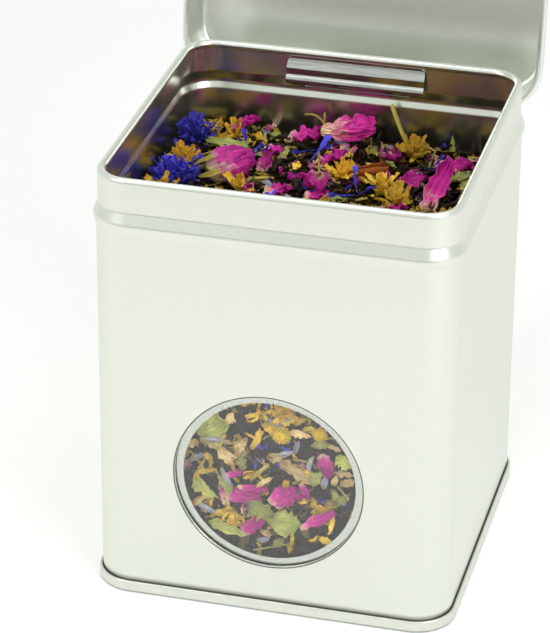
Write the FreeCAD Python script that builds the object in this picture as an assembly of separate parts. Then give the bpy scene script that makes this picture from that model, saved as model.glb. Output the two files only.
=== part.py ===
import FreeCAD, Part
import math
import os

# Square tinplate tea caddy: hinged lid, shown open, and a round window in the front wall.
# Millimetres, +Z up. The origin is the centre of the base, on the surface the tin stands on.
# The front wall faces -Y, the hinge is at the back. Angles are in degrees.

V = FreeCAD.Vector
X_AXIS = V(1, 0, 0)
Y_AXIS = V(0, 1, 0)
Z_AXIS = V(0, 0, 1)

# Body: outside width of the square wall, height to the top of the rim, outside corner radius
body_width = 80.0
body_height = 101.0
corner_radius = 8.3
sheet = 0.22
fold_gap = 0.03

# Base seam and floor
seam_height = 2.7
floor_height = 3.4
floor_bend = 0.8
seam_foot_bend = 0.3

# Bead, neck and rim curl, drops are measured down from the rim
neck_drop = 7.55
neck_inset = 0.45
bead_rise = 0.55
bead_crest = 0.3
bead_lower_bend = 1.2
bead_lower_angle = 20.0
bead_upper_bend = 1.2
bead_upper_angle = 22.0
rim_radius = 0.95
rim_turn = 300.0

# Window in the front wall
ring_above_floor = 2.3
window_radius = 21.0
window_edge_bend = 0.15
window_edge_lip = 0.35
window_edge_reach = 1.5
pane_lap = 1.6
pane_thickness = 0.3
pane_space = 0.25
ring_lip = 1.7
ring_flange = 5.5
ring_step_bend = 0.3
ring_step_angle = 60.0
seat_gap = 0.02

# Lid
lid_clearance = 0.2
lid_headroom = 0.4
lid_bend = 1.5
lid_curl_radius = 0.8
lid_curl_turn = 290.0
lid_open_angle = 98.0

# Hinge: pin height is measured down from the rim
hinge_drop = 10.5
pin_clearance = 0.03
pin_length = 44.0
strap_sheet = 0.3
strap_width = 32.2
strap_top_drop = 2.2
strap_flange = 0.5
strap_slope = 1.9
strap_slope_angle = 40.0
strap_bend = 0.5
strap_corner = 1.5
roll_radius = 1.05
roll_entry_bend = 0.3
roll_entry_angle = 70.0
tongue_width = 24.0
tongue_angle = 18.5
knuckle_turn = 250.0
hinge_clearance = 0.3
stop_gap = 0.05
stop_thickness = 0.5
stop_width = 3.0
stop_reach = 0.6

# Contents, the drop is measured down from the rim
tea_drop = 21.0
tea_clearance = 0.4
piece_seat = 0.1

# Values that follow from those above
wall_half = body_width / 2
half_sheet = sheet / 2
layer = sheet + fold_gap
flat_half = wall_half - corner_radius
bead_half = wall_half + bead_rise
lid_inner_half = bead_half + lid_clearance
lid_curl_middle = lid_curl_radius - half_sheet
hinge_y = lid_inner_half + half_sheet + lid_curl_middle
hinge_z = body_height - hinge_drop
hinge_point = V(0, hinge_y, hinge_z)
bore_radius = lid_curl_radius - sheet
floor_top = floor_height + sheet
ring_radius = window_radius + ring_flange
window_height = floor_top + ring_above_floor + ring_radius
pane_front = -wall_half + half_sheet + window_edge_bend + window_edge_lip + seat_gap
pane_back = pane_front + pane_thickness
ring_back = pane_back + pane_space + sheet
tea_half = -ring_back - tea_clearance
tea_height = body_height - tea_drop
piece_step = tea_half / 40


def run(length):
    return ("run", length, 0.0)


def bend(radius, turn):
    # A positive turn is to the left of the path's direction
    return ("bend", radius, turn)


def jog(shift, radius, angle):
    # Two opposite bends that move the path sideways, positive to its right, and how far it goes on
    turn = math.radians(angle)
    side = math.copysign(1.0, shift)
    straight = (abs(shift) - 2 * radius * (1 - math.cos(turn))) / math.sin(turn)
    advance = 2 * radius * math.sin(turn) + straight * math.cos(turn)
    moves = [bend(radius, -side * angle), run(straight), bend(radius, side * angle)]
    return moves, advance


def strip(start, heading, moves, thickness):
    # Section of a bent sheet in the XZ plane, from the runs and bends of its middle line
    half = thickness / 2
    x, z = start
    direction = math.radians(heading)
    left = []
    right = []

    def point(px, pz):
        return V(px, 0, pz)

    first = None
    for kind, amount, turn in moves:
        normal_x = -math.sin(direction)
        normal_z = math.cos(direction)
        if first is None:
            first = (point(x + normal_x * half, z + normal_z * half),
                     point(x - normal_x * half, z - normal_z * half))
        if kind == "run":
            next_x = x + amount * math.cos(direction)
            next_z = z + amount * math.sin(direction)
            for edges, side in ((left, half), (right, -half)):
                begin = point(x + normal_x * side, z + normal_z * side)
                end = point(next_x + normal_x * side, next_z + normal_z * side)
                edges.append(Part.LineSegment(begin, end).toShape())
        else:
            toward = math.copysign(1.0, turn)
            centre_x = x + normal_x * amount * toward
            centre_z = z + normal_z * amount * toward
            sweep = math.radians(turn)
            for edges, side in ((left, half), (right, -half)):
                radius = amount - side * toward
                stations = []
                for share in (0.0, 0.5, 1.0):
                    angle = direction + sweep * share
                    stations.append(point(centre_x + toward * radius * math.sin(angle),
                                          centre_z - toward * radius * math.cos(angle)))
                edges.append(Part.Arc(*stations).toShape())
            direction += sweep
            next_x = centre_x + toward * amount * math.sin(direction)
            next_z = centre_z - toward * amount * math.cos(direction)
        x, z = next_x, next_z
    end_x = -math.sin(direction) * half
    end_z = math.cos(direction) * half
    last = (point(x + end_x, z + end_z), point(x - end_x, z - end_z))
    caps = [Part.LineSegment(*first).toShape(), Part.LineSegment(*last).toShape()]
    return Part.Face(Part.Wire(Part.__sortEdges__(left + right + caps)))


def around(section):
    # Sweep a section round the square: four flat sides and four round corners
    side = section.copy()
    side.translate(V(0, -flat_half, 0))
    side = side.extrude(V(0, 2 * flat_half, 0))
    corner = section.copy()
    corner.translate(V(0, flat_half, 0))
    corner = corner.revolve(V(flat_half, flat_half, 0), Z_AXIS, 90)
    pieces = []
    for quarter in range(4):
        for piece in (side, corner):
            turned = piece.copy()
            turned.rotate(V(0, 0, 0), Z_AXIS, 90 * quarter)
            pieces.append(turned)
    return pieces[0].multiFuse(pieces[1:]).removeSplitter()


def rounded_block(half, radius, low, high):
    block = Part.makeBox(2 * half, 2 * half, high - low, V(-half, -half, low))
    upright = [edge for edge in block.Edges if abs(edge.tangentAt(edge.FirstParameter).z) > 0.5]
    return block.makeFillet(radius, upright)


def box(low, high):
    return Part.makeBox(high.x - low.x, high.y - low.y, high.z - low.z, low)


def disc_section(start, heading, moves, thickness):
    # A strip given by its radius and its Y, turned about the window's axis
    section = strip(start, heading, moves, thickness)
    section.rotate(V(0, 0, 0), X_AXIS, -90)
    section.translate(V(0, 0, window_height))
    return section.revolve(V(0, 0, window_height), Y_AXIS, 360)


def window_cylinder(radius, front, back):
    return Part.makeCylinder(radius, back - front, V(0, front, window_height), Y_AXIS)


# The double seam at the foot: the wall's hook and the floor's hook lie in each other
seam_turn_z = 2 * layer + half_sheet
wall_middle = wall_half - half_sheet
hook_middle = wall_middle + 2 * layer
floor_hook_middle = wall_middle + layer
chuck_middle = wall_middle - layer
seam_top_z = seam_height - layer - half_sheet


def make_body_wall():
    lower, lower_height = jog(bead_rise, bead_lower_bend, bead_lower_angle)
    upper, upper_height = jog(-(bead_rise + neck_inset), bead_upper_bend, bead_upper_angle)
    neck_z = body_height - neck_drop
    bead_z = neck_z - upper_height - bead_crest - lower_height
    rim_middle = rim_radius - half_sheet
    rim_z = body_height - rim_radius
    moves = [run(seam_top_z - seam_turn_z), bend(layer, -180), run(bead_z - seam_turn_z)]
    moves += lower + [run(bead_crest)] + upper
    moves += [run(rim_z - neck_z), bend(rim_middle, rim_turn)]
    wall = around(strip((hook_middle, seam_top_z), -90, moves, sheet))
    hole_radius = window_radius + window_edge_reach
    wall = wall.cut(window_cylinder(hole_radius, -wall_half - sheet, -wall_half + 2 * sheet))
    straight = window_edge_reach - window_edge_bend - half_sheet
    edge = disc_section((hole_radius, half_sheet - wall_half), 180,
                        [run(straight), bend(window_edge_bend, -90), run(window_edge_lip)], sheet)
    wall = wall.fuse(edge).removeSplitter()
    return wall.cut(make_hinge_slot())


def make_base_plate():
    foot_z = seam_foot_bend + half_sheet
    foot_width = 4 * layer - 2 * seam_foot_bend
    floor_middle = floor_height + half_sheet
    margin = 2 * floor_bend
    moves = [run(seam_top_z - seam_turn_z), bend(layer, -180), run(seam_top_z - foot_z),
             bend(seam_foot_bend, -90), run(foot_width), bend(seam_foot_bend, -90),
             run(floor_middle - floor_bend - foot_z), bend(floor_bend, 90), run(margin)]
    ring = around(strip((floor_hook_middle, seam_turn_z), 90, moves, sheet))
    inset = wall_half - chuck_middle + floor_bend + margin
    panel = rounded_block(wall_half - inset, corner_radius - inset, floor_height, floor_top)
    return ring.fuse(panel).removeSplitter()


def make_window_pane():
    return window_cylinder(window_radius + pane_lap, pane_front, pane_back)


def make_window_ring():
    # Flange on the wall, a step over the pane's edge and a lip behind the pane
    flange_y = -wall_half + sheet + seat_gap + half_sheet
    lip_y = ring_back - half_sheet
    step, step_width = jog(lip_y - flange_y, ring_step_bend, ring_step_angle)
    step_radius = window_radius + pane_lap + ring_step_bend + sheet + seat_gap
    inner = window_radius - ring_lip
    moves = [run(ring_radius - step_radius - step_width)] + step + [run(step_radius - inner)]
    return disc_section((ring_radius, flange_y), 180, moves, sheet)


def make_lid_closed():
    panel_low = body_height + lid_headroom
    panel_middle = panel_low + half_sheet
    skirt_middle = lid_inner_half + half_sheet
    margin = 2 * lid_bend
    moves = [run(margin), bend(lid_bend, -90), run(panel_middle - lid_bend - hinge_z),
             bend(lid_curl_middle, lid_curl_turn)]
    start = skirt_middle - lid_bend - margin
    shell = around(strip((start, panel_middle), 0, moves, sheet))
    inset = wall_half - start
    panel = rounded_block(start, corner_radius - inset, panel_low, panel_low + sheet)
    shell = shell.fuse(panel).removeSplitter()
    reach = lid_curl_radius + hinge_clearance
    half_width = tongue_width / 2 + hinge_clearance
    notch = box(V(-half_width, hinge_y - reach, hinge_z - reach),
                V(half_width, hinge_y + reach, hinge_z + notch_height()))
    return shell.cut(notch)


def open_lid(shape):
    turned = shape.copy()
    turned.rotate(hinge_point, X_AXIS, -lid_open_angle)
    return turned


# The strap's tongue runs down and back to lie on top of the pin, then curls round it
knuckle_middle = bore_radius + strap_sheet / 2
tongue_slope = math.radians(tongue_angle)


def tongue_height(y):
    # Height of the tongue's middle line above the pin at a given Y
    return (knuckle_middle + (hinge_y - y) * math.sin(tongue_slope)) / math.cos(tongue_slope)


def notch_height():
    return tongue_height(hinge_y - lid_curl_radius) + strap_sheet + hinge_clearance


def make_hinge_slot():
    half_width = tongue_width / 2 + hinge_clearance
    inside = wall_half - neck_inset - 2 * sheet
    outside = bead_half + sheet
    low = hinge_z + tongue_height(outside) - strap_sheet - hinge_clearance
    high = hinge_z + tongue_height(inside) + strap_sheet + hinge_clearance
    return box(V(-half_width, inside, low), V(half_width, outside, high))


def spread(section, width):
    # Extrude a section that was drawn in the XZ plane so that its X lies along Y
    section.rotate(V(0, 0, 0), Z_AXIS, 90)
    section.translate(V(width / 2, 0, 0))
    return section.extrude(V(-width, 0, 0))


def make_hinge_strap():
    start_y = wall_half - neck_inset - sheet - seat_gap - strap_sheet / 2
    start_z = body_height - strap_top_drop
    slope = math.radians(strap_slope_angle)
    entry = math.radians(roll_entry_angle)
    inset = 2 * strap_bend * (1 - math.cos(slope)) + strap_slope * math.sin(slope)
    drop = 2 * strap_bend * math.sin(slope) + strap_slope * math.cos(slope)
    face_y = start_y - inset
    face_z = start_z - strap_flange - drop
    # The roll ends in the tongue's direction, so its height follows from the pin's
    roll_y = face_y - roll_entry_bend * (1 - math.cos(entry)) + roll_radius * math.cos(entry)
    end_y = roll_y - roll_radius * math.sin(tongue_slope)
    end_z = hinge_z + tongue_height(end_y)
    roll_z = end_z + roll_radius * math.cos(tongue_slope)
    face_end_z = roll_z + (roll_radius + roll_entry_bend) * math.sin(entry)
    roll_turn = 90 + roll_entry_angle - tongue_angle
    plate_moves = [run(strap_flange), bend(strap_bend, -strap_slope_angle), run(strap_slope),
                   bend(strap_bend, strap_slope_angle), run(face_z - face_end_z),
                   bend(roll_entry_bend, -roll_entry_angle), bend(roll_radius, roll_turn)]
    plate = spread(strip((start_y, start_z), -90, plate_moves, strap_sheet), strap_width)
    corner_mask = box(V(-strap_width / 2, face_y - 2 * roll_radius, start_z - 2 * strap_corner),
                      V(strap_width / 2, start_y + strap_sheet, start_z))
    upper_edges = [edge for edge in corner_mask.Edges if edge.BoundBox.ZMin > start_z - strap_corner]
    corners = [edge for edge in upper_edges if abs(edge.tangentAt(edge.FirstParameter).y) > 0.5]
    plate = plate.cut(corner_mask.cut(corner_mask.makeFillet(strap_corner, corners)))
    along = (hinge_y - end_y) * math.cos(tongue_slope) + (end_z - hinge_z) * math.sin(tongue_slope)
    tongue_moves = [run(along), bend(knuckle_middle, -knuckle_turn)]
    tongue = spread(strip((end_y, end_z), -tongue_angle, tongue_moves, strap_sheet), tongue_width)
    strap = plate.fuse(tongue)
    for side in (-1, 1):
        strap = strap.fuse(make_stop(side))
    return strap.removeSplitter()


def make_stop(side):
    # Lug on the knuckle that the edge of the lid's notch lies on when the lid is open
    skirt_face = hinge_y - lid_curl_middle + half_sheet
    low_y = skirt_face + stop_gap
    middle = side * (tongue_width / 2 - stop_width)
    low_z = hinge_z + knuckle_middle
    high_z = hinge_z + notch_height() + stop_reach
    lug = box(V(middle - stop_width / 2, low_y, low_z),
              V(middle + stop_width / 2, low_y + stop_thickness, high_z))
    return open_lid(lug)


def make_hinge_pin():
    start = V(-pin_length / 2, hinge_y, hinge_z)
    return Part.makeCylinder(bore_radius - pin_clearance, pin_length, start, X_AXIS)


def make_tea_bed():
    inset = wall_half - tea_half
    return rounded_block(tea_half, corner_radius - inset, floor_top + seat_gap, tea_height)


# The loose pieces are drawn and placed in steps, fortieths of the tea's half width


def lay(shape, x, y, tilt=0.0, spin=0.0):
    # Lean a loose piece over, turn it and set it down on the tea
    shape.rotate(V(0, 0, 0), Y_AXIS, tilt)
    shape.rotate(V(0, 0, 0), Z_AXIS, spin)
    shape.scale(piece_step)
    low = shape.optimalBoundingBox().ZMin
    shape.translate(V(x * piece_step, y * piece_step, tea_height + piece_seat - low))
    return shape


def petal(length, width, dish, thickness=0.4):
    # Oval cut from a thin bowl
    bowl = Part.makeSphere(dish).cut(Part.makeSphere(dish - thickness))
    oval = Part.Face(Part.Wire(Part.Ellipse(V(0, 0, -dish), length / 2, width / 2).toShape()))
    return bowl.common(oval.extrude(V(0, 0, dish)))


def bud(length, radius):
    # Egg shape along Z
    stretch = FreeCAD.Matrix()
    stretch.scale(1, 1, length / (2 * radius))
    return Part.makeSphere(radius).transformGeometry(stretch)


def flower_head(foot, top, height):
    # Cup that widens from its foot radius to its top radius
    return Part.makeCone(foot, top, height)


def stick(length, radius):
    return Part.makeCylinder(radius, length, V(-length / 2, 0, 0), X_AXIS)


def make_contents():
    return {
        "tea_bed": make_tea_bed(),
        "rosebud": lay(bud(length=13.5, radius=4.4), x=-23.4, y=8.3, tilt=78, spin=30),
        "rose_petal_right": lay(petal(length=15.6, width=10.4, dish=11.5), x=25.2, y=12.6, tilt=12, spin=65),
        "rose_petal_back": lay(petal(length=16.7, width=8.3, dish=12.5), x=1.3, y=34.2, tilt=10, spin=-15),
        "rose_petal_left": lay(petal(length=10.4, width=7.3, dish=9.4), x=-24.8, y=34.0, tilt=8, spin=50),
        "rose_petal_front": lay(petal(length=12.5, width=8.3, dish=10.4), x=0.9, y=5.9, tilt=8, spin=20),
        "marigold_left": lay(flower_head(foot=2.3, top=4.2, height=3.3), x=-35.4, y=13.0),
        "marigold_right": lay(flower_head(foot=2.3, top=4.2, height=3.3), x=16.8, y=30.8),
        "cornflower_left": lay(flower_head(foot=1.5, top=4.4, height=4.7), x=-35.4, y=25.5),
        "cornflower_front": lay(flower_head(foot=1.5, top=4.8, height=4.7), x=-35.1, y=2.6),
        "leaf_piece": lay(petal(length=10.4, width=4.2, dish=14.6), x=-25.5, y=22.1, tilt=6, spin=10),
        "bark_stick": lay(stick(length=10.4, radius=1.0), x=8.0, y=18.6, spin=30),
        "flower_stem": lay(stick(length=12.8, radius=0.6), x=12.0, y=36.2, tilt=-51, spin=140.8),
    }


nodes = {
    "body_wall": make_body_wall(),
    "base_plate": make_base_plate(),
    "window_pane": make_window_pane(),
    "window_ring": make_window_ring(),
    "hinge_strap": make_hinge_strap(),
    "hinge_pin": open_lid(make_hinge_pin()),
    "lid_shell": open_lid(make_lid_closed()),
}
nodes.update(make_contents())

os.makedirs("parts", exist_ok=True)
for name, shape in nodes.items():
    shape.exportStep(os.path.join("parts", name + ".step"))
    print(name, "solids", len(shape.Solids), "valid", shape.isValid(), "volume %.1f" % shape.Volume)
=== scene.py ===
import math
import bpy
import numpy as np
from mathutils import Euler, Matrix, Vector


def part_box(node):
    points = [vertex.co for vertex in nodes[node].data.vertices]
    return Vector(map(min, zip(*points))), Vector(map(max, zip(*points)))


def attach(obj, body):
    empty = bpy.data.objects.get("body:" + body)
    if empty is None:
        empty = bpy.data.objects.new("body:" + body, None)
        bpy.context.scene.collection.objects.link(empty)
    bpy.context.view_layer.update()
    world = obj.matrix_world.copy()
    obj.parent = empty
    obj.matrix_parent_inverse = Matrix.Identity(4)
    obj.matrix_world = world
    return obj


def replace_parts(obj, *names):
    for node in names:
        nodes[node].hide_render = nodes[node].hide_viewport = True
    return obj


# A square tinplate tea caddy with a round window, its hinged lid open, filled with a flower tea.
# Sizes are in millimetres until a mesh is made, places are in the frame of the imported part.
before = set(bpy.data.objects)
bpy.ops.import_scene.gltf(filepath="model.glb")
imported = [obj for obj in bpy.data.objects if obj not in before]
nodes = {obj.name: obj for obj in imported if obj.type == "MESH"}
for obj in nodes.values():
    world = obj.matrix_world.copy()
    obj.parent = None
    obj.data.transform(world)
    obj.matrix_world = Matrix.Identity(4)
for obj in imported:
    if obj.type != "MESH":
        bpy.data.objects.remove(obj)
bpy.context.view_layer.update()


# Body wall: one strip of satin tinplate bent to a square tube, with a bead, a neck and a rim that is
# curled inwards. The sheet is cold rolled and unpainted, so a fine grain runs round the tin. The inside
# is rubbed less than the outside and is a little shinier.
def linear(code):
    """Linear colour of an sRGB hex value"""
    parts = [int(code[place:place + 2], 16) / 255 for place in (0, 2, 4)]
    return [part / 12.92 if part <= 0.04045 else ((part + 0.055) / 1.055) ** 2.4 for part in parts] + [1.0]


def add(tree, kind, values=None, links=None):
    """Adds a shader node, gives it its settings and links its inputs"""
    node = tree.nodes.new("ShaderNode" + kind)
    for key, value in (values or {}).items():
        if key == "stops":
            while len(node.color_ramp.elements) < len(value):
                node.color_ramp.elements.new(1.0)
            for element, (position, code) in zip(node.color_ramp.elements, value):
                element.position = position
                element.color = linear(code)
        elif isinstance(key, str) and hasattr(node, key):
            setattr(node, key, value)
        else:
            node.inputs[key].default_value = value
    for key, socket in (links or {}).items():
        tree.links.new(socket, node.inputs[key])
    return node


def blank_material(name):
    """A new material and its empty node tree"""
    material = bpy.data.materials.new(name)
    material.use_nodes = True
    material.node_tree.nodes.clear()
    return material, material.node_tree


def per_mm(size):
    """Texture scale that gives a pattern of this size in millimetres"""
    return 1000 / size


def rolled_tinplate(name, dark, light, roughness, grain, painted_shade_line=None, hole_edge_shade=None, inside=None):
    """Cold rolled tinplate: a soft mirror, streaked along the rolling by lines about as fine as a hair. On
    the sheet they are drawn some six times as wide, so that they show. Towards a seam the colour darkens
    as painted shade, from the height where it starts down to the height where it is full, and round a
    hole punched at some height a band of painted shade between two radii stands for the dark gap at its
    edge. Faces that look inwards can have a roughness of their own."""
    patch_size = 14
    unevenness = 0.012
    shade_tone = linear("7C807A")
    gap_shade_tone = linear("6A6E6A")
    material, tree = blank_material(name)
    surface = add(tree, "TexCoord")
    place = surface.outputs["Object"]
    stretch = add(tree, "Mapping", {"Scale": [per_mm(size) for size in grain]}, {"Vector": place})
    lines = add(tree, "TexNoise", {"Scale": 1.0, "Detail": 3.0, "Roughness": 0.6},
                {"Vector": stretch.outputs["Vector"]})
    patches = add(tree, "TexNoise", {"Scale": per_mm(patch_size), "Detail": 2.0}, {"Vector": place})
    tone = add(tree, "ValToRGB", {"stops": [(0.3, dark), (0.7, light)]}, {"Fac": lines.outputs["Fac"]})
    both = add(tree, "Math", {"operation": "ADD"}, {0: lines.outputs["Fac"], 1: patches.outputs["Fac"]})
    dull = add(tree, "MapRange", {"From Min": 0.7, "From Max": 1.3, "To Min": roughness - unevenness,
                                  "To Max": roughness + unevenness}, {"Value": both.outputs["Value"]})
    colour = tone.outputs["Color"]
    rough = dull.outputs["Result"]
    spot = add(tree, "SeparateXYZ", links={"Vector": place})
    if inside:
        level = add(tree, "Mapping", {"Scale": (1, 1, 0)}, {"Vector": place})
        facing = add(tree, "VectorMath", {"operation": "DOT_PRODUCT"},
                     {0: level.outputs["Vector"], 1: surface.outputs["Normal"]})
        inward = add(tree, "Math", {"operation": "LESS_THAN", 1: 0.0}, {0: facing.outputs["Value"]})
        shiny = add(tree, "Math", {"operation": "MULTIPLY_ADD", 1: inside - roughness},
                    {0: inward.outputs["Value"], 2: rough})
        rough = shiny.outputs["Value"]
    # Painted shade: the colour darkens towards a seam, between two heights
    if painted_shade_line:
        shade_start, shade_full = painted_shade_line
        shade_ramp = add(tree, "MapRange", {"From Min": shade_start / 1000, "From Max": shade_full / 1000},
                   {"Value": spot.outputs["Z"]})
        with_shade_line = add(tree, "MixRGB", {"Color2": shade_tone}, {"Fac": shade_ramp.outputs["Result"], "Color1": colour})
        colour = with_shade_line.outputs["Color"]
    # Painted shade: a dark band round a punched hole stands for the shadowed gap at its edge
    if hole_edge_shade:
        height, inner, outer = hole_edge_shade
        middle = (inner + outer) / 2000
        half_width = (outer - inner) / 2000
        side = add(tree, "Mapping", {"Location": (0, 0, -height / 1000), "Scale": (1, 0, 1)},
                   {"Vector": place})
        reach = add(tree, "VectorMath", {"operation": "LENGTH"}, {0: side.outputs["Vector"]})
        near = add(tree, "Math", {"operation": "COMPARE", 1: middle, 2: half_width},
                   {0: reach.outputs["Value"]})
        front = add(tree, "Math", {"operation": "LESS_THAN", 1: 0.0}, {0: spot.outputs["Y"]})
        in_gap_shade = add(tree, "Math", {"operation": "MULTIPLY"},
                   {0: near.outputs["Value"], 1: front.outputs["Value"]})
        with_gap_shade = add(tree, "MixRGB", {"Color2": gap_shade_tone},
                    {"Fac": in_gap_shade.outputs["Value"], "Color1": colour})
        colour = with_gap_shade.outputs["Color"]
    metal = add(tree, "BsdfPrincipled", {"Metallic": 1.0}, {"Base Color": colour, "Roughness": rough})
    add(tree, "OutputMaterial", links={"Surface": metal.outputs["BSDF"]})
    return material


def coat(node, material):
    """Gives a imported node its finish"""
    nodes[node].data.materials.clear()
    nodes[node].data.materials.append(material)


pane_low, pane_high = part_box("window_pane")
window_z = 500 * (pane_low.z + pane_high.z)
rolling_grain = (2.5, 2.5, 0.6)
# Painted shade in the crevice above the base seam: the wall darkens from 4.0 mm down to 2.9 mm
seam_shade_line = (4.0, 2.9)
# Painted shade round the window hole: its height, and the band's inner and outer radius
hole_shade_band = (window_z, 21.06, 21.36)
coat("body_wall", rolled_tinplate("satin_tinplate", "DBE0D6", "DFE3D9", roughness=0.3, grain=rolling_grain,
                                  painted_shade_line=seam_shade_line, hole_edge_shade=hole_shade_band, inside=0.25))

# Base plate: a stamped tinplate floor, double seamed to the wall, the tin stands on its seam.
# The same sheet as the wall, a little rougher from standing on shelves. Painted shade darkens its foot.
foot_shade_line = (0.6, 0.1)
coat("base_plate", rolled_tinplate("seamed_tinplate", "D4D8D1", "DCDFD8", roughness=0.33,
                                   grain=rolling_grain, painted_shade_line=foot_shade_line))

# Window ring: pressed from bright tinplate, it clamps the pane to the inside of the wall.
# It was not handled much, so it is shinier than the wall.
coat("window_ring", rolled_tinplate("bright_tinplate", "C4C8C3", "D6D9D4", roughness=0.2,
                                    grain=(0.3, 6, 0.3)))


# Window pane: a disc of clear PET film, 0.3 mm thick, cut from a roll.
# It is glossy, nearly without colour, and has a few fine scuffs.
def clear_film(name):
    """PET film: clear, with the strong gloss of its refractive index and hardly any tint"""
    scuff_size = 3
    material, tree = blank_material(name)
    place = add(tree, "TexCoord").outputs["Object"]
    scuffs = add(tree, "TexNoise", {"Scale": per_mm(scuff_size), "Detail": 4.0}, {"Vector": place})
    dull = add(tree, "MapRange", {"From Min": 0.4, "From Max": 0.8, "To Min": 0.0, "To Max": 0.03},
               {"Value": scuffs.outputs["Fac"]})
    film = add(tree, "BsdfPrincipled",
               {"Base Color": linear("FBFCFA"), "IOR": 1.56, "Transmission Weight": 1.0},
               {"Roughness": dull.outputs["Result"]})
    clear = add(tree, "BsdfTransparent", {"Color": linear("FAFBFA")})
    rays = add(tree, "LightPath")
    either = add(tree, "MixShader", links={0: rays.outputs["Is Shadow Ray"], 1: film.outputs["BSDF"],
                                           2: clear.outputs["BSDF"]})
    add(tree, "OutputMaterial", links={"Surface": either.outputs["Shader"]})
    return material


coat("window_pane", clear_film("clear_pet_film"))

# Hinge strap: a strip of bright tinplate folded over inside the back of the neck, its tongue goes
# through a slot and curls round the pin. The pin is a piece of drawn steel wire.
# Its tone is painted darker than the wall's: painted shade for the greyer things its faces mirror
coat("hinge_strap", rolled_tinplate("folded_tinplate_painted_shade", "A4A7A2", "BEC1BC", roughness=0.2,
                                    grain=(5.0, 0.6, 0.6)))
coat("hinge_pin", rolled_tinplate("drawn_wire", "B9BAB6", "CDCECA", roughness=0.25, grain=(6, 0.2, 0.2)))

# Lid: drawn from the same satin sheet as the wall, with a rounded edge and an outward curled mouth.
# It has the wall's grain and shine, and is a shade lighter.
coat("lid_shell", rolled_tinplate("drawn_tinplate", "E0E3DD", "E5E7E2", roughness=0.3, grain=rolling_grain))


# Black tea: leaves that were withered, twisted to wires and dried, 4 to 10 mm long. It fills the tin,
# and the flowers lie in it. Underneath is one dark heap that the loose leaves are strewn on.
rng = np.random.default_rng(11)  # sizes, bends and places
fray = np.random.default_rng(5)  # uneven tips
full_turn, half_turn = 6.28, 3.14
# Half the wall's width and its corner radius, the heap's own, and the gap between the heap and the wall
wall_half, wall_corner = 40, 8.3
tea_low, tea_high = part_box("tea_bed")
tea_half = tea_high.x * 1000
tea_top = tea_high.z * 1000
tea_corner = wall_corner - (wall_half - tea_half)
tea_gap = 0.3
# How far back the pane and the ring reach, and the radius of the ring's hole
pane_back = 1000 * pane_high.y
ring_back = 1000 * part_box("window_ring")[1].y
ring_hole = 19.3


def quads(rows, columns):
    """Faces of a grid of points"""
    corner = np.arange(rows * columns).reshape(rows, columns)
    faces = np.stack([corner[:-1, :-1], corner[1:, :-1], corner[1:, 1:], corner[:-1, 1:]], axis=-1)
    return faces.reshape(-1, 4)


def sheet(length, width, outline, bow=0.0, cup=0.0, twist=0.0, ruffle=0.0, waves=3.0, pleat=0.0, pleats=2.5,
          torn=0.0, crumple=0.0, rows=9, columns=5):
    """A leaf or petal that lies along X. Outline gives its half width along it. Bow, cup and twist are
    angles in radians: how far it bends lengthwise, how far its sides are rolled up and how far it is wound.
    Ruffle is the height of the waves along its edges, pleat the height of the folds from base to tip, torn
    how uneven its edges and its tip are, and crumple the depth of its dents."""
    along = np.linspace(0, 1, rows)[:, None] * np.ones(columns)
    across = np.ones((rows, 1)) * np.linspace(-1, 1, columns)
    edges = 1 + torn * rng.uniform(-1, 1, (rows, 2))
    half = width / 2 * outline(along) * np.where(across < 0, edges[:, :1], edges[:, 1:])
    roll = max(abs(cup), 0.01) / 2
    side = half * np.sin(roll * across) / roll
    lift = half * (1 - np.cos(roll * across)) / roll
    phase = rng.uniform(0, full_turn, 4)
    slant = 1.3 * across
    towards_edge = 0.25 + 0.75 * across ** 2
    lift = lift + ruffle * towards_edge * np.sin(waves * full_turn * along + phase[0] + slant)
    drift = np.sin(4 * along + phase[3])
    fold = np.sin(pleats * half_turn * across + phase[2] + drift)
    off_base = np.minimum(1, 3 * along)
    lift = lift + pleat * fold * off_base + crumple * rng.normal(0, 1, along.shape)
    sway, sway_pitch = 0.4, 1.7
    side = side + sway * ruffle * across * np.sin(sway_pitch * waves * full_turn * along + phase[1])
    turn = twist * (along - 0.5)
    side, lift = side * np.cos(turn) - lift * np.sin(turn), side * np.sin(turn) + lift * np.cos(turn)
    slope = bow * (along - 0.5)
    middle = bow * ((np.arange(rows - 1) + 0.5) / (rows - 1) - 0.5)
    step = length / (rows - 1)
    spine_x = np.concatenate([[0], np.cumsum(step * np.cos(middle))])
    spine_z = np.concatenate([[0], np.cumsum(step * np.sin(middle))])
    tip_reach = 0.7
    tip = torn * width * fray.uniform(-tip_reach, tip_reach, columns) * along ** 3
    x = (spine_x - spine_x.mean())[:, None] - lift * np.sin(slope) + tip
    z = (spine_z - spine_z.mean())[:, None] + lift * np.cos(slope)
    points = np.stack([x, side, z], axis=-1).reshape(-1, 3)
    return points, quads(rows, columns), np.stack([along.ravel(), across.ravel()], axis=-1)


def spindle(along):
    """Half width of a leaf that is pointed at both ends"""
    return np.sin(np.pi * (0.08 + 0.84 * along)) ** 0.6


def hold(x, y, half, corner):
    """Moves places that lie outside a square with round corners to its edge"""
    flat = half - corner
    over_x = np.maximum(np.abs(x) - flat, 0)
    over_y = np.maximum(np.abs(y) - flat, 0)
    pull = np.minimum(1, corner / np.maximum(np.hypot(over_x, over_y), 1e-6))
    return (np.sign(x) * (np.minimum(np.abs(x), flat) + over_x * pull),
            np.sign(y) * (np.minimum(np.abs(y), flat) + over_y * pull))


def turned(points, roll, tilt, heading):
    """Points turned about X, then Y, then Z, angles in radians"""
    return points @ np.array(Euler((roll, tilt, heading)).to_matrix()).T


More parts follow.
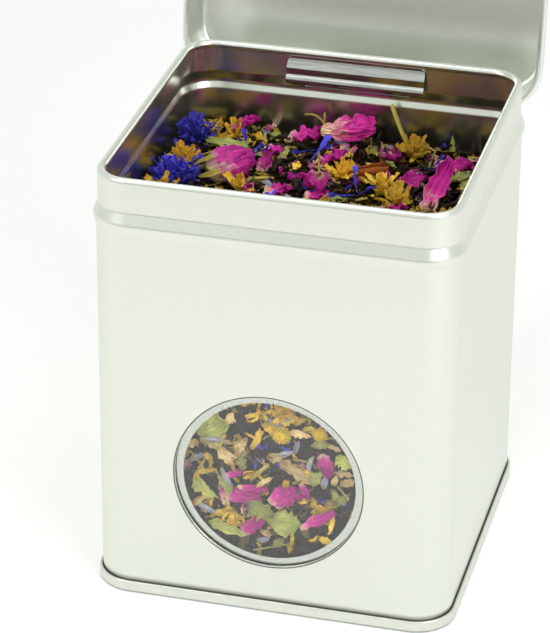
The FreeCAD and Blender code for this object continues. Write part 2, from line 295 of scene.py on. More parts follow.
def lay(piece, place, heading=0.0, tilt=0.0, roll=0.0):
    """Turns a piece, angles in degrees, and lays it on the tea, inside the wall"""
    points, faces, marks = piece
    points = turned(points, math.radians(roll), math.radians(tilt), math.radians(heading)) + np.array(place)
    x, y = hold(points[:, 0], points[:, 1], tea_half + tea_gap, tea_corner + tea_gap)
    return np.stack([x, y, points[:, 2]], axis=-1), faces, marks


def press(piece, x, up, heading=0.0, tilt=0.0, roll=0.0, depth=0.15):
    """Turns a piece to face the window, angles in degrees, and squeezes it flat. Its foremost point lies
    this deep behind the pane, and it stays clear of the pane and of the ring."""
    squeezed = 2.4
    clearance = 0.08
    ring_lap = 0.3
    points, faces, marks = piece
    points = turned(points, math.radians(roll), math.radians(tilt), math.radians(heading))
    relief = points[:, 2].max() - points[:, 2]
    behind = squeezed * (1 - np.exp(-relief / squeezed)) + pane_back + depth
    points = np.stack([points[:, 0] + x, behind, points[:, 1] + window_z + up], axis=-1)
    reach = np.hypot(points[:, 0], points[:, 2] - window_z)
    nearest = np.where(reach > ring_hole - ring_lap, ring_back + clearance, pane_back + clearance)
    points[:, 1] = np.maximum(points[:, 1], nearest)
    return points, faces, marks


def join(pieces):
    """Several pieces as one"""
    points = np.concatenate([piece[0] for piece in pieces])
    marks = np.concatenate([piece[2] for piece in pieces])
    faces = []
    first = 0
    for piece in pieces:
        faces.append(piece[1] + first)
        first += len(piece[0])
    return points, np.concatenate(faces), marks


def heap(name, pieces, material, smooth=True):
    """One mesh of many loose pieces, each with its own shade"""
    points, faces, marks = join(pieces)
    shade = np.concatenate([np.full(len(piece[0]), rng.uniform()) for piece in pieces])
    mesh = bpy.data.meshes.new(name)
    mesh.from_pydata((points / 1000).tolist(), [], faces.tolist())
    for mark, values in (("along", marks[:, 0]), ("across", marks[:, 1]), ("shade", shade)):
        mesh.attributes.new(mark, "FLOAT", "POINT").data.foreach_set("value", values.astype(np.float32))
    mesh.polygons.foreach_set("use_smooth", [smooth] * len(mesh.polygons))
    mesh.materials.append(material)
    made = bpy.data.objects.new(name, mesh)
    bpy.context.scene.collection.objects.link(made)
    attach(made, "tin")
    return made


def dried_plant(name, stops, roughness, contrast, veins):
    """Dried leaf or petal: its colour runs from base to tip, each piece is lighter or darker by up to the
    contrast, and shrunken veins run along it as fine folds. The folds also set the colour: darker in
    their troughs, partly a darker line in each vein and partly painted shade, and lighter on their
    ridges as painted highlight. Veins is how many lie in half its width, which puts them about 0.2 mm
    apart."""
    mottle_size, mottle_shift = 1.6, 0.3
    vein_height = 0.2
    along_leaf, between_pieces = 3.0, 90.0
    material, tree = blank_material(name)
    place = add(tree, "TexCoord").outputs["Object"]
    along = add(tree, "Attribute", {"attribute_name": "along"})
    across = add(tree, "Attribute", {"attribute_name": "across"})
    shade = add(tree, "Attribute", {"attribute_name": "shade"})
    mottle = add(tree, "TexNoise", {"Scale": per_mm(mottle_size), "Detail": 4.0}, {"Vector": place})
    wander = add(tree, "Math", {"operation": "MULTIPLY_ADD", 1: 2 * mottle_shift, 2: -mottle_shift},
                 {0: mottle.outputs["Fac"]})
    shifted = add(tree, "Math", {"operation": "ADD"}, {0: along.outputs["Fac"], 1: wander.outputs["Value"]})
    tone = add(tree, "ValToRGB", {"stops": stops}, {"Fac": shifted.outputs["Value"]})
    spread = add(tree, "CombineXYZ", links={"X": along.outputs["Fac"], "Y": across.outputs["Fac"],
                                            "Z": shade.outputs["Fac"]})
    stretch = add(tree, "Mapping", {"Scale": (along_leaf, veins, between_pieces)},
                  {"Vector": spread.outputs["Vector"]})
    lines = add(tree, "TexNoise", {"Scale": 1.0, "Detail": 3.0, "Roughness": 0.6},
                {"Vector": stretch.outputs["Vector"]})
    level = add(tree, "MapRange", {"To Min": 1 - contrast, "To Max": 1 + contrast},
                {"Value": shade.outputs["Fac"]})
    # Painted shade in the folds' troughs and painted highlight on their ridges, besides the darker vein lines
    depth = add(tree, "MapRange", {"From Min": 0.3, "From Max": 0.7, "To Min": 0.46, "To Max": 1.3},
                {"Value": lines.outputs["Fac"]})
    value = add(tree, "Math", {"operation": "MULTIPLY"},
                {0: level.outputs["Result"], 1: depth.outputs["Result"]})
    colour = add(tree, "HueSaturation",
                 links={"Value": value.outputs["Value"], "Color": tone.outputs["Color"]})
    bumps = add(tree, "Bump", {"Strength": 1.0, "Distance": vein_height / 1000},
                {"Height": lines.outputs["Fac"]})
    leaf = add(tree, "BsdfPrincipled", {"Roughness": roughness, "Specular IOR Level": 0.25},
               {"Base Color": colour.outputs["Color"], "Normal": bumps.outputs["Normal"]})
    add(tree, "OutputMaterial", links={"Surface": leaf.outputs["BSDF"]})
    return material


black_leaf = dried_plant("twisted_black_tea", [(0.0, "32220F"), (0.5, "261A0C"), (1.0, "46321C")],
                         roughness=0.4, contrast=0.5, veins=5)
brown_leaf = dried_plant("broken_brown_tea", [(0.0, "54421F"), (0.5, "7C6A3A"), (1.0, "625A34")],
                         roughness=0.6, contrast=0.5, veins=6)


def make_tea_bed():
    """Closed heap with an uneven top, its front stands back from the window for the loose leaves there"""
    steps = 40
    front_gap, floor_gap = 2.5, 0.1
    below_top, swell, crumbs = 1.4, 0.7, 0.5
    u, v = np.meshgrid(np.linspace(-1, 1, steps), np.linspace(-1, 1, steps), indexing="ij")
    x, y = hold(u * tea_half, v * tea_half, tea_half, tea_corner)
    y = np.maximum(y, -tea_half + front_gap)
    hills = swell * np.sin(0.31 * x + 1) * np.sin(0.27 * y)
    z = tea_top - below_top + hills + rng.uniform(-crumbs, crumbs, x.shape)
    top = np.stack([x, y, z], axis=-1)
    low = top.copy()
    low[..., 2] = tea_low.z * 1000 + floor_gap
    points = np.concatenate([top.reshape(-1, 3), low.reshape(-1, 3)])
    corner = np.arange(steps * steps).reshape(steps, steps)
    edge = np.concatenate([corner[:-1, 0], corner[-1, :-1], corner[:0:-1, -1], corner[0, :0:-1]])
    after = np.roll(edge, -1)
    under = steps * steps
    upper = quads(steps, steps)
    sides = np.stack([edge, edge + under, after + under, after], axis=-1)
    faces = np.concatenate([upper, upper[:, ::-1] + under, sides])
    return points, faces, points[:, :2] / 10


def tea_leaf():
    """A leaf twisted to a wire"""
    return sheet(rng.uniform(4.5, 10), rng.uniform(1.6, 3.2), spindle, bow=rng.normal(0, 0.7),
                 cup=rng.uniform(2.6, 5.2), twist=rng.normal(0, 2.2), ruffle=0.15, rows=8, columns=6)


def on_tea(rise):
    """A place on the heap"""
    reach = 36.5
    sunk, layer = 0.6, 1.4
    x, y = rng.uniform(-reach, reach, 2)
    return x, y, tea_top - sunk + rise + rng.uniform(0, layer)


def behind_pane():
    """A place behind the window"""
    reach = 20.5
    turn = rng.uniform(0, 2 * math.pi)
    out = reach * math.sqrt(rng.uniform())
    return out * math.cos(turn), out * math.sin(turn)


def strewn(make, on_top, in_window, rise=0.6):
    """Pieces at random on the heap and behind the window"""
    nearest, deepest = 1.0, 2.4
    pieces = []
    for _ in range(on_top):
        pieces.append(lay(make(), on_tea(rise), rng.uniform(0, 360), rng.normal(0, 18), rng.normal(0, 40)))
    for _ in range(in_window):
        x, up = behind_pane()
        depth = rng.uniform(nearest, deepest)
        pieces.append(press(make(), x, up, rng.uniform(0, 360), rng.normal(0, 10), rng.normal(0, 40), depth))
    return pieces


tea_bed = heap("tea_bed_heap", [make_tea_bed()], black_leaf)
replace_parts(tea_bed, "tea_bed")
black_tea = strewn(tea_leaf, on_top=1400, in_window=0, rise=0.0)
for _ in range(420):
    x, up = behind_pane()
    black_tea.append(press(tea_leaf(), x, up, rng.uniform(0, 360), rng.normal(0, 10),
                           depth=rng.uniform(1.5, 2.9)))
heap("black_tea", black_tea, black_leaf)


def broken_leaf():
    """A bit of a leaf that dried before it was twisted, flat and brown"""
    return sheet(rng.uniform(2.5, 6), rng.uniform(1.2, 2.6), spindle, bow=rng.normal(0, 0.5),
                 cup=rng.uniform(0.5, 2), twist=rng.normal(0, 0.8), ruffle=0.15, torn=0.35, crumple=0.08,
                 rows=8, columns=5)


broken_tea = strewn(broken_leaf, on_top=160, in_window=60, rise=0.2)
heap("broken_tea", broken_tea, brown_leaf, smooth=False)


# Rose: whole petals and a bud, picked and air dried, so they are crinkled and their sides curl up.
# A petal is magenta and runs out to cream at its narrow base.
rose_petal = dried_plant("dried_rose_petal",
                         [(0.0, "F6E09A"), (0.18, "F4B8BA"), (0.4, "E63CAC"), (1.0, "B8148C")],
                         roughness=0.5, contrast=0.3, veins=12)
petal_thickness = 0.2


def petal_outline(along):
    """Half width of a petal, narrow at the base and round at the tip"""
    return 0.2 + 0.8 * np.sin(np.pi * (0.02 + 0.9 * along ** 0.85)) ** 0.8


def petal(length, width, cup, bow=0.5):
    """A crinkled petal, waved and folded in proportion to its width"""
    return sheet(length, width, petal_outline, bow=bow + rng.normal(0, 0.3), cup=cup + rng.normal(0, 0.3),
                 twist=rng.normal(0, 0.6), ruffle=0.13 * width, waves=2.6, pleat=0.08 * width, pleats=3.5,
                 torn=0.2, crumple=0.035 * width, rows=18, columns=15)


def centre(node, rise=0.0):
    """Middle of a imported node, in millimetres"""
    low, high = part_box(node)
    middle = 500 * (low + high)
    return middle.x, middle.y, middle.z + rise


def fan(count, spread, length, width, lift=0.12):
    """Petals that still hang together at their base, spread by this angle in degrees"""
    petals = []
    for number in range(count):
        points, faces, marks = petal(length * rng.uniform(0.75, 1), width * rng.uniform(0.7, 1),
                                     cup=2.2, bow=0.2)
        points = points - np.array([points[:, 0].min(), 0, 0])
        heading = math.radians(spread * (number / (count - 1) - 0.5))
        points = turned(points, rng.normal(0, 0.6), -abs(rng.normal(0, lift)), heading)
        petals.append((points - np.array([length / 2, 0, 0]), faces, marks))
    return join(petals)


def tinted(piece, share):
    """The same piece with more of its pale base, where share is below 1, or more of its dark tip"""
    points, faces, marks = piece
    return points, faces, marks * np.array([share, 1])


def bud_outline(along):
    """Half width of a petal in the bud, broad to near its tip"""
    return 0.25 + 0.75 * np.sin(np.pi * (0.06 + 0.8 * along)) ** 0.7


def rosebud(length, radius):
    """Petals wrapped round each other in three layers, along X"""
    layers, per_layer = 3, 4
    narrower, longer, further = 0.16, 0.08, 0.4
    quarter_turn, layer_turn = 1.571, 0.7
    palest, darker, tints = 0.65, 0.25, 3
    petals = []
    for count in range(layers * per_layer):
        layer = count // per_layer
        out = radius * (1 - narrower * layer)
        points, faces, marks = sheet(length * (0.84 + longer * layer), 2.2 * out, bud_outline, bow=1.15,
                                     cup=2.1, ruffle=0.4, waves=1.6, pleat=0.25, pleats=3.5, torn=0.1,
                                     crumple=0.1, rows=16, columns=17)
        points = points + np.array([further * layer, 0, -0.86 * out])
        points = turned(points, quarter_turn * count + layer_turn * layer, 0, 0)
        petals.append(tinted((points, faces, marks), palest + darker * (count % tints)))
    return join(petals)


def solid_sheet(made, thickness, smooth=True):
    """Gives thin leaves their thickness, in millimetres, and smooths them unless they stay crisp"""
    if smooth:
        supple = made.modifiers.new("smooth", "SUBSURF")
        supple.levels = 1
        supple.render_levels = 1
    body = made.modifiers.new("thickness", "SOLIDIFY")
    body.thickness = thickness / 1000
    body.offset = 0
    return made


# The shift moves a petal from the middle of its node to where it lies on the tea
for node, piece, shift, heading, tilt in (
        ("rose_petal_right", petal(length=15.0, width=5.8, cup=2.4, bow=0.4), (2.6, -2.0, 1.2), 80, -28),
        ("rose_petal_back", tinted(fan(7, spread=34, length=14.5, width=6.0), 0.72), (1.0, 0.0, 1.6), 13, -5),
        ("rose_petal_left", fan(2, spread=20, length=8.5, width=5.0), (0.0, 0.0, 1.4), 28, -14),
        ("rose_petal_front", fan(3, spread=60, length=8.0, width=5.0, lift=0.3), (-2.0, 0.0, 1.0), 250, 14)):
    place = np.array(centre(node)) + np.array(shift)
    made = heap(node + "_dried", [lay(piece, place, heading, tilt)], rose_petal)
    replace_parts(solid_sheet(made, petal_thickness), node)
bud_heading, bud_tilt = 30, -12
bud = lay(rosebud(length=11.8, radius=3.9), centre("rosebud"), bud_heading, bud_tilt)
made = heap("rosebud_dried", [bud], rose_petal)
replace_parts(solid_sheet(made, petal_thickness), "rosebud")

rose_bits = []
petal_rise = 1.8
for x, y, length, width, heading, tilt in (
        (-15.4, 16.5, 7, 4.5, 80, -35), (-15.1, 23.3, 5, 3.5, 20, 5), (-10.7, 31.5, 8, 6, 10, -16),
        (-7.6, 34.8, 6, 4.5, 60, -26), (-2.1, 21.8, 8, 5.5, 25, -20), (10.9, 26.4, 6.5, 5, -20, -8),
        (26.0, 24.5, 8, 5.5, 5, -18), (31.0, 27.0, 7, 5, -30, -14), (-9.2, 2.6, 6.5, 4.5, 0, -16),
        (-0.5, 1.5, 6, 4, 10, -14), (18.4, 13.7, 8, 5, 30, -20), (17.4, 0.4, 6.5, 4, 0, -14),
        (-20, -12, 9, 7, 140, -8), (27, -25, 9, 7, 100, -8)):
    place = (x, y, tea_top + petal_rise)
    rose_bits.append(lay(petal(length, width, cup=1.7), place, heading, tilt, rng.normal(0, 22)))
# Behind the window the petals' hollow side faces away from the pane
for x, up, length, width, heading in (
        (12.4, 5.4, 6.0, 3.4, -75), (-6.5, -5.4, 9.0, 4.6, 8), (3.0, -4.1, 7.5, 5.6, 30),
        (10.8, -8.6, 9, 2.6, 35), (-3.9, -2.7, 7, 2.0, 5), (-3.9, -12.6, 6.5, 3.4, 40),
        (7.8, -1.5, 4.0, 2.2, -60), (-8.0, 0.4, 4, 2.0, 20)):
    dark_petal = tinted(petal(length, width, cup=1.5, bow=0.2), 1.6)
    rose_bits.append(press(dark_petal, x, up, heading, rng.normal(0, 6), rng.normal(180, 10)))


def petal_scrap():
    """A small petal"""
    return petal(rng.uniform(3, 6), rng.uniform(2, 4), cup=1.6)


def petal_base():
    """The pale foot of a petal"""
    return tinted(petal(rng.uniform(3, 6), rng.uniform(1.5, 3), cup=1.8), 0.35)


rose_bits += strewn(petal_scrap, on_top=34, in_window=3)
rose_bits += strewn(petal_base, on_top=46, in_window=6)
solid_sheet(heap("rose_petals_loose", rose_bits, rose_petal), petal_thickness, smooth=False)


# Marigold: flower heads and single ray florets, orange to golden yellow, dried.
# Each floret is a narrow strap with a toothed tip, and a head is a whorl of them.
marigold_floret = dried_plant("dried_marigold",
                              [(0.0, "D2B838"), (0.3, "FFD040"), (0.7, "FFDA54"), (1.0, "F2B430")],
                              roughness=0.6, contrast=0.35, veins=5)


def strap_outline(along):
    """Half width of a ray floret, widest past its middle"""
    return 0.35 + 0.65 * np.sin(np.pi * (0.1 + 0.65 * along))


def floret():
    """A single ray floret"""
    return sheet(rng.uniform(3, 5.5), rng.uniform(1.2, 2.2), strap_outline, bow=rng.normal(0.6, 0.8),
                 cup=rng.uniform(0.8, 2.6), twist=rng.normal(0, 1.0), ruffle=0.2, torn=0.25, crumple=0.06,
                 rows=9, columns=5)


def whorl(make, count, low, high):
    """Florets round a middle, the outer ones lie at the angle low and the inner ones stand at high"""
    inner = 0.4
    golden_turn = 2.4
    ring = []
    for number in range(count):
        points, faces, marks = make()
        points = points - np.array([points[:, 0].min() - inner, 0, 0])
        share = number / max(count - 1, 1)
        rise = math.radians(low + (high - low) * share + rng.normal(0, 12))
        ring.append((turned(points, rng.normal(0, 0.4), -rise, golden_turn * number), faces, marks))
    return join(ring)


for node in ("marigold_left", "marigold_right"):
    head = lay(whorl(floret, 34, low=5, high=85), centre(node, rise=-0.6), tilt=rng.normal(0, 15))
    made = heap(node + "_head", [head], marigold_floret)
    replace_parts(solid_sheet(made, thickness=0.16), node)

marigold_bits = []
marigold_rise = 1.0
for x, y, count in ((2.6, 14.8, 22), (17.5, 4.4, 12), (12.4, 12.1, 8), (-30.5, 28.9, 12), (-26.0, 29.5, 12),
                    (-8, -18, 26), (22, -14, 24), (-24, -32, 22), (8, -32, 20), (-34, -4, 12), (-22, -20, 20),
                    (30, -6, 18), (2, -8, 18), (-18, 2, 8), (32, -30, 20), (13.5, 8.5, 8)):
    marigold_bits.append(lay(whorl(floret, count, low=0, high=80), (x, y, tea_top + marigold_rise),
                             rng.uniform(0, 360), rng.normal(0, 15)))
for x, up, count in ((2.5, 15.9, 18), (-8.5, -9.8, 9), (10.0, -6.8, 16), (-2.4, 15.4, 3), (10.4, -13.9, 2),
                     (4.7, -16.8, 1), (-14.0, 4.2, 3), (-8.5, 2.4, 3), (-13.0, -6.1, 4), (-3.1, 0.9, 4),
                     (-2.5, -4.5, 2), (14.0, -7.5, 2), (-10.0, 9.5, 2), (8.0, 16.0, 2), (-6.5, -13.8, 3)):
    marigold_bits.append(press(whorl(floret, count, low=25, high=80), x, up, rng.uniform(0, 360),
                               rng.normal(0, 25), rng.normal(0, 25)))
marigold_bits += strewn(floret, on_top=180, in_window=50)
made = heap("marigold_florets", marigold_bits, marigold_floret)
solid_sheet(made, thickness=0.14, smooth=False)


# Cornflower: heads and single florets, deep blue, narrow at the foot and deeply toothed at the rim.
# They keep their colour when dried and curl up into strips.
cornflower_floret = dried_plant("dried_cornflower", [(0.0, "585AA0"), (0.4, "4442C4"), (1.0, "5A54EC")],
                                roughness=0.6, contrast=0.35, veins=6)


def trumpet_outline(along):
    """Half width of a floret that widens from its foot to its rim"""
    return 0.12 + 0.88 * along ** 1.6


def blue_floret():
    """A single cornflower floret"""
    return sheet(rng.uniform(4.5, 7), rng.uniform(1.2, 2.2), trumpet_outline, bow=rng.normal(0.7, 0.6),
                 cup=rng.uniform(1.5, 3), twist=rng.normal(0, 1.0), ruffle=0.3, waves=2, torn=0.3,
                 crumple=0.06, rows=10, columns=5)


for node in ("cornflower_left", "cornflower_front"):
    head = lay(whorl(blue_floret, 52, low=0, high=75), centre(node, rise=-1.2), tilt=rng.normal(0, 10))
    made = heap(node + "_head", [head], cornflower_floret)
    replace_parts(solid_sheet(made, thickness=0.14), node)

blue_bits = []
blue_rise = 1.4
for x, y, count, tilt in ((-20.9, 21.2, 4, 0), (-5.6, 27.6, 3, -40), (20.8, 23.1, 3, -30), (8.1, 6.1, 4, 0),
                          (-12, -8, 6, 0), (18, -30, 8, 0), (-30.2, 2.4, 16, 0), (-33.5, 3.4, 16, 0)):
    blue_bits.append(lay(whorl(blue_floret, count, low=0, high=40), (x, y, tea_top + blue_rise),
                         heading=60, tilt=tilt))
for x, up, count in ((-0.8, 7.4, 7), (9.7, -4.3, 2), (-4.0, 5.5, 2)):
    blue_bits.append(press(whorl(blue_floret, count, low=20, high=70), x, up, rng.uniform(0, 360),
                           rng.normal(0, 25), depth=0.6))
long_floret = sheet(8.5, 2.0, trumpet_outline, bow=0.4, cup=1.6, twist=0.5, ruffle=0.25, torn=0.3,
                    rows=10, columns=5)
blue_bits.append(lay(long_floret, (-4.6, 22.5, tea_top + 3.6), heading=62, tilt=-32))
blue_bits += strewn(blue_floret, on_top=50, in_window=6)
made = heap("cornflower_florets", blue_bits, cornflower_floret)
solid_sheet(made, thickness=0.12)


# Green and tan leaf: bits of mint and lemon leaf rubbed from the stalk, grey green to yellow green, and
# pale brown bits of peel and husk. They are thin and brittle, with a torn and curled edge.
green_leaf = dried_plant("dried_green_leaf", [(0.0, "9EA04C"), (0.5, "C8CA70"), (1.0, "A8B45E")],
                         roughness=0.65, contrast=0.4, veins=8)
tan_leaf = dried_plant("dried_tan_leaf", [(0.0, "C2944E"), (0.5, "F6DC9E"), (1.0, "E6BA86")],
                       roughness=0.65, contrast=0.35, veins=8)


def leaf_outline(along):
    """Half width of a whole leaf"""
    return 0.12 + 0.88 * np.sin(np.pi * (0.04 + 0.9 * along)) ** 0.7


def leaf(length, width):
    """Bit of a leaf, pointed or broken off blunt at either end"""
    rise, fall = rng.uniform(0.06, 0.55, 2)

    def outline(along):
        return 0.1 + 0.9 * np.minimum(1, along / rise) ** 0.8 * np.minimum(1, (1 - along) / fall) ** 0.8

    return sheet(length, width, outline, bow=rng.normal(0.2, 0.4), cup=rng.uniform(0.7, 2.4),
                 twist=rng.normal(0, 0.5), ruffle=0.08 * width, waves=2.5, pleat=0.04 * width, torn=0.3,
                 crumple=0.03 * width, rows=12, columns=7)


def leaf_scrap():
    """A small bit of a leaf"""
    return leaf(rng.uniform(2.5, 5.5), rng.uniform(1.0, 2.8))


whole_leaf = sheet(10.0, 4.6, leaf_outline, bow=0.2, cup=0.5, twist=0.2, ruffle=0.3, waves=2.5, pleat=0.15,
                   pleats=2.5, torn=0.2, crumple=0.1, rows=14, columns=9)
leaf_place = centre("leaf_piece", rise=2.4)
made = heap("leaf_piece_dried", [lay(whole_leaf, leaf_place, heading=10, tilt=8)], green_leaf)
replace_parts(solid_sheet(made, thickness=0.2), "leaf_piece")
green_bits = []
leaf_rise = 1.6
for x, y, length, width, heading, tilt in (
        (-12.6, 22.9, 4, 2, 80, -30), (-17.6, 22.1, 5, 2.5, 60, 0), (27.9, 19.5, 6.5, 4, 20, -8),
        (31, 17, 5, 3.5, 70, -20), (3.8, 1.6, 6.5, 3, 0, -8), (23.6, 35.0, 6, 1.4, 100, -55),
        (9.7, 14.0, 3, 1.6, 90, -20), (29, 22, 4, 3, 130, -10)):
    green_bits.append(lay(leaf(length, width), (x, y, tea_top + leaf_rise), heading, tilt))
for x, up, length, width, heading in (
        (-13.2, 10.8, 7.5, 5.4, 25), (2.6, -10.6, 9, 6.0, -10), (-1.7, -8.0, 6, 4.6, 150),
        (-14.5, -4.6, 6.5, 3.0, -30), (-9.5, -13.7, 9, 2.6, -12), (10.3, 1.8, 5, 2.6, 70),
        (-10.3, -1.9, 6, 2.4, -55), (16.5, 6.8, 4.5, 3.0, -30), (16.3, -2.5, 4.5, 3, 45),
        (-11.5, 7.2, 3, 1.8, 70), (-6.2, 3.2, 3.5, 2, 100), (2.0, -15.6, 4, 2, 50),
        (-13.5, 13.5, 4, 2, 60), (11.0, 10.4, 4, 2, 10)):
    green_bits.append(press(leaf(length, width), x, up, heading, rng.normal(0, 8), rng.normal(0, 12)))
green_bits += strewn(leaf_scrap, on_top=90, in_window=9)
leaf_thickness = 0.16
made = heap("green_leaf_bits", green_bits, green_leaf, smooth=False)
solid_sheet(made, leaf_thickness, smooth=False)
tan_bits = []
for x, up, length, width, heading in (
        (-10.3, 4.5, 7.0, 4.6, -65), (5.7, 2.5, 8.8, 2.6, -34), (6.4, 12.3, 5, 1.9, -10),
        (-9.2, 13.9, 3.2, 2.6, 60), (-1.2, -0.6, 4.5, 1.2, 35), (16.3, 4.2, 4.6, 1.8, 0),
        (17.2, 1.7, 3.6, 2, 20), (13.5, 10.4, 5, 1.2, -8), (-15.8, -7.8, 3.5, 1.2, 45),
        (14.6, 2.2, 3, 1.4, 80)):
    tan_bits.append(press(leaf(length, width), x, up, heading, rng.normal(0, 12), rng.normal(0, 24)))
tan_bits += strewn(leaf_scrap, on_top=76, in_window=20)
made = heap("tan_leaf_bits", tan_bits, tan_leaf, smooth=False)
solid_sheet(made, leaf_thickness, smooth=False)


# Stalks and bark: thin pale flower stems, the sepals of the rosebud and a splinter of cinnamon bark.
# Broken lengths, round or rolled up, with a fibrous surface.
stem_straw = dried_plant("dried_stem", [(0.0, "B4A046"), (1.0, "E0D06C")],
                         roughness=0.6, contrast=0.25, veins=6)
cinnamon = dried_plant("cinnamon_bark", [(0.0, "824018"), (0.5, "B06024"), (1.0, "944C1C")],
                       roughness=0.7, contrast=0.25, veins=9)


def even(along):
    """The same half width from end to end"""
    return np.ones_like(along)


def stalk(length, thickness, bow=0.1):
    """A narrow strip rolled up to a round stem"""
    return sheet(length, math.pi * thickness, even, bow=bow, cup=6.2, rows=12, columns=9)


def stalk_scrap():
    """A broken length of stem"""
    return stalk(rng.uniform(4, 10), rng.uniform(0.4, 0.8), rng.normal(0, 0.4))


sepals = []
sixth_turn, first_turn = 1.05, 0.3
sepal_place = np.array([-3.6, 0, 3.3])
for number in range(6):
    points, faces, marks = sheet(7.5, 1.3, leaf_outline, bow=-0.9, cup=1.0, twist=rng.normal(0, 0.4),
                                 torn=0.2, rows=10, columns=5)
    points = turned(points + sepal_place, sixth_turn * number + first_turn, 0, 0)
    sepals.append(lay((points, faces, marks), centre("rosebud"), bud_heading, bud_tilt))
solid_sheet(heap("rosebud_sepals", sepals, stem_straw), thickness=0.2)
stem = lay(stalk(length=12.4, thickness=1.0, bow=0.3), centre("flower_stem"), heading=140.8, tilt=-51)
made = heap("flower_stem_dried", [stem], stem_straw)
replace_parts(made, "flower_stem")
bark = sheet(10.0, 5.6, even, bow=0.08, cup=4.6, ruffle=0.1, torn=0.1, rows=12, columns=9)
made = heap("bark_stick_dried", [lay(bark, centre("bark_stick"), heading=30)], cinnamon)
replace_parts(solid_sheet(made, thickness=0.25), "bark_stick")
stalks = strewn(stalk_scrap, on_top=60, in_window=10)
for x, y, rise, length, heading, tilt, bow in (
        (-8.8, 36, 5.2, 5, 0, 22, -1.6), (-6.8, 36.5, 3.4, 6, 90, -70, 0.6),
        (7.9, 2.3, 1.6, 7, 20, -6, 0.2), (-1.7, 10.9, 4.0, 9, 110, -60, 1.2)):
    stalks.append(lay(stalk(length, thickness=0.5, bow=bow), (x, y, tea_top + rise), heading, tilt))
for x, up, length, thickness, heading in ((-15.8, 2.4, 6.5, 0.4, -53), (-2.3, 1.8, 6.0, 0.9, 48),
                                          (1.5, 13.6, 5.5, 0.4, -22), (16.5, -0.5, 4.0, 0.5, -50)):
    stalks.append(press(stalk(length, thickness), x, up, heading))
heap("stems_loose", stalks, stem_straw)


# Lavender buds and camomile: small dull violet husks, and yellow domed flower middles.
# The husks are ribbed lengthwise, the domes are set with fine knobs.
lavender_husk = dried_plant("dried_lavender", [(0.0, "A2A47C"), (0.5, "B0AFBE"), (1.0, "A6A0D2")],
                            roughness=0.7, contrast=0.25, veins=7)
camomile = dried_plant("dried_camomile", [(0.0, "E0AC1C"), (1.0, "FFE23C")],
                       roughness=0.7, contrast=0.05, veins=1.5)


def husk():
    """A lavender bud, rolled shut and ribbed"""
    return sheet(rng.uniform(3, 5), rng.uniform(3.5, 5), spindle, bow=rng.normal(0, 0.2), cup=6.1, ruffle=0.1,
                 waves=2, pleat=0.06, pleats=5, rows=9, columns=11)


husks = strewn(husk, on_top=40, in_window=6)
for x, up, heading in ((3.4, 7.1, 20), (5.9, 9.0, 75), (-1.4, -15.4, 20), (-12.8, 8.3, 5), (-14.5, -9.2, -25),
                       (12.2, 1.0, 80), (-9.8, -0.8, -60)):
    husks.append(press(husk(), x, up, heading))
heap("lavender_buds", husks, lavender_husk)


def button(radius):
    """Dome set with small knobs"""
    steps = 28
    knob, flatness = 0.17, 0.8
    rise = np.linspace(0.02, 0.5 * np.pi, steps)[:, None]
    turn = np.linspace(0, 2 * np.pi, 2 * steps)[None, :]
    out = radius * (1 + knob * np.sin(13 * rise) * np.sin(8 * turn))
    points = np.stack([out * np.cos(rise) * np.cos(turn), out * np.cos(rise) * np.sin(turn),
                       flatness * out * np.sin(rise) * np.ones_like(turn)], axis=-1)
    along = np.broadcast_to(rise / (0.5 * np.pi), (steps, 2 * steps))
    across = np.broadcast_to(np.cos(4 * turn), (steps, 2 * steps))
    faces = quads(steps, 2 * steps)[:, [0, 3, 2, 1]]
    return points.reshape(-1, 3), faces, np.stack([along.ravel(), across.ravel()], axis=-1)


buttons = [press(button(radius=2.1), x=2.4, up=11.3),
           press(button(radius=1.6), x=10.9, up=12.4, tilt=10, depth=0.6)]
heap("camomile_buttons", buttons, camomile)


# Floor: a sheet of matt white paper on a grey desk, cut off some way in front of the tin.
# It lies a twentieth of a millimetre below the base, so that the two faces don't coincide.
floor_side, floor_front, floor_back = 1.2, -0.34, 1.6
floor_drop = 0.00005
floor_mesh = bpy.data.meshes.new("floor")
floor_mesh.from_pydata([(-floor_side, floor_front, 0), (floor_side, floor_front, 0),
                        (floor_side, floor_back, 0), (-floor_side, floor_back, 0)], [], [(0, 1, 2, 3)])
floor = bpy.data.objects.new("floor", floor_mesh)
floor.location.z = -floor_drop
bpy.context.scene.collection.objects.link(floor)


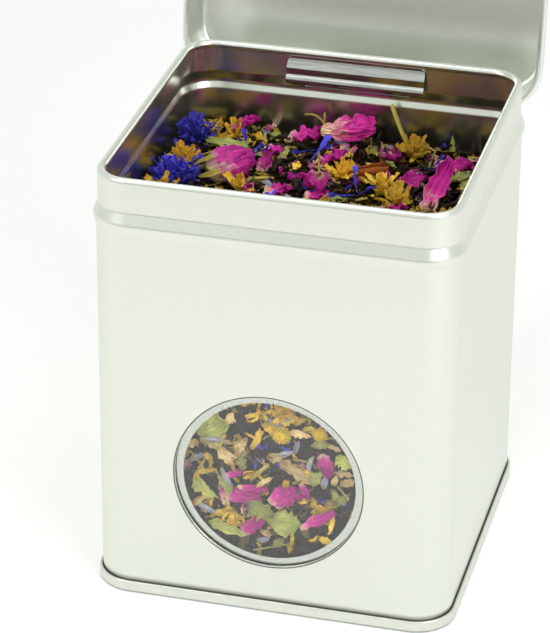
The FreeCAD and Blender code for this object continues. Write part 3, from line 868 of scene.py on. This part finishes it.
def white_paper(name, grey_fibre, white_fibre, near_glow, far_glow):
    """Matt white paper that is seen as pure white, brighter far from the tin, and still takes a shadow"""
    fibre_size = 2
    near, far = 0.35, 1.1
    material, tree = blank_material(name)
    place = add(tree, "TexCoord").outputs["Object"]
    fibre = add(tree, "TexNoise", {"Scale": per_mm(fibre_size), "Detail": 3.0}, {"Vector": place})
    tone = add(tree, "ValToRGB", {"stops": [(0.3, grey_fibre), (0.7, white_fibre)]}, {"Fac": fibre.outputs["Fac"]})
    matt = add(tree, "BsdfDiffuse", links={"Color": tone.outputs["Color"]})
    rays = add(tree, "LightPath")
    mirrored = add(tree, "Math", {"operation": "MAXIMUM"},
                   {0: rays.outputs["Is Glossy Ray"], 1: rays.outputs["Is Transmission Ray"]})
    seen = add(tree, "Math", {"operation": "MAXIMUM"},
               {0: rays.outputs["Is Camera Ray"], 1: mirrored.outputs["Value"]})
    reach = add(tree, "VectorMath", {"operation": "LENGTH"}, {0: place})
    glow = add(tree, "MapRange", {"From Min": near, "From Max": far, "To Min": near_glow, "To Max": far_glow},
               {"Value": reach.outputs["Value"]})
    strength = add(tree, "Math", {"operation": "MULTIPLY"},
                   {0: seen.outputs["Value"], 1: glow.outputs["Result"]})
    light = add(tree, "Emission", links={"Strength": strength.outputs["Value"]})
    both = add(tree, "AddShader", links={0: matt.outputs["BSDF"], 1: light.outputs["Emission"]})
    add(tree, "OutputMaterial", links={"Surface": both.outputs["Shader"]})
    return material


floor_mesh.materials.append(white_paper("white_paper", "F8F8F6", "FCFCFA", near_glow=0.23, far_glow=0.5))

# Room: bright walls and ceiling all round, and in front, below the horizon, the grey desk that the metal
# mirrors. It is seen as pure white, and fills the shadows with an even grey light.
world = bpy.data.worlds.new("studio")
bpy.context.scene.world = world
world.use_nodes = True
sky = world.node_tree
sky.nodes.clear()
direction = add(sky, "SeparateXYZ", links={"Vector": add(sky, "TexCoord").outputs["Generated"]})
above_desk = add(sky, "MapRange", {"From Min": -0.14, "From Max": 0.02}, {"Value": direction.outputs["Z"]})
behind = add(sky, "MapRange", {"From Min": 0.0, "From Max": 0.3}, {"Value": direction.outputs["Y"]})
either = add(sky, "Math", {"operation": "MAXIMUM"},
             {0: above_desk.outputs["Result"], 1: behind.outputs["Result"]})
room = add(sky, "ValToRGB", {"stops": [(0.0, "B2B4B0"), (1.0, "F0F1EF")]}, {"Fac": either.outputs["Value"]})
rays = add(sky, "LightPath")
seen = add(sky, "MixRGB", {"Color2": (1, 1, 1, 1)},
           {"Fac": rays.outputs["Is Camera Ray"], "Color1": room.outputs["Color"]})
mirrored = add(sky, "Background", {"Strength": 1.0}, {"Color": seen.outputs["Color"]})
fill = add(sky, "Background", {"Color": linear("B4B5B3"), "Strength": 1.0})
each = add(sky, "MixShader", links={0: rays.outputs["Is Diffuse Ray"], 1: mirrored.outputs["Background"],
                                    2: fill.outputs["Background"]})
add(sky, "OutputWorld", links={"Surface": each.outputs["Shader"]})


# Light: three white softboxes that face the middle of the tin, a small one at the left, a stronger one
# at the right and a large one overhead. Places and sizes are in metres, power is in watts.
def softbox(name, place, size, power):
    """A square lamp that faces the tin"""
    tin_middle = Vector((0, 0, 0.08))
    lamp = bpy.data.lights.new(name, "AREA")
    lamp.size = size
    lamp.energy = power
    made = bpy.data.objects.new(name, lamp)
    made.location = place
    made.rotation_euler = (tin_middle - Vector(place)).to_track_quat("-Z", "Y").to_euler()
    bpy.context.scene.collection.objects.link(made)


softbox("softbox_left", (-0.35, -0.4, 0.42), size=0.2, power=0.75)
softbox("softbox_right", (0.5, -0.42, 0.36), size=0.3, power=1.55)
softbox("softbox_above", (0.05, 0.0, 0.9), size=0.8, power=2.2)

# Camera: in front, above and to the right, with a long lens. Its angles, place and focal length were
# fitted to the tin's edges, the focal length in pixels of a picture that is 633 pixels high.
camera_turn, camera_rise, camera_roll = (math.radians(angle) for angle in (14.297, 27.684, 0.402))
focal_pixels, picture_height, sensor = 3207.9, 633, 36
camera_place = (0.14908, -0.61973, 0.38743)
right = Vector((math.cos(camera_turn), math.sin(camera_turn), 0))
upward = Vector((-math.sin(camera_turn) * math.sin(camera_rise),
                 math.cos(camera_turn) * math.sin(camera_rise), math.cos(camera_rise)))
back = Vector((math.sin(camera_turn) * math.cos(camera_rise),
               -math.cos(camera_turn) * math.cos(camera_rise), math.sin(camera_rise)))
rolled_right = right * math.cos(camera_roll) + upward * math.sin(camera_roll)
rolled_up = upward * math.cos(camera_roll) - right * math.sin(camera_roll)
lens = bpy.data.cameras.new("camera")
lens.sensor_width = sensor
lens.lens = focal_pixels * sensor / picture_height
lens.clip_start = 0.05
lens.clip_end = 20
camera = bpy.data.objects.new("camera", lens)
camera.matrix_world = Matrix((rolled_right, rolled_up, back)).transposed().to_4x4()
camera.location = camera_place
bpy.context.scene.collection.objects.link(camera)
bpy.context.scene.camera = camera
bpy.context.scene.view_settings.view_transform = "Standard"
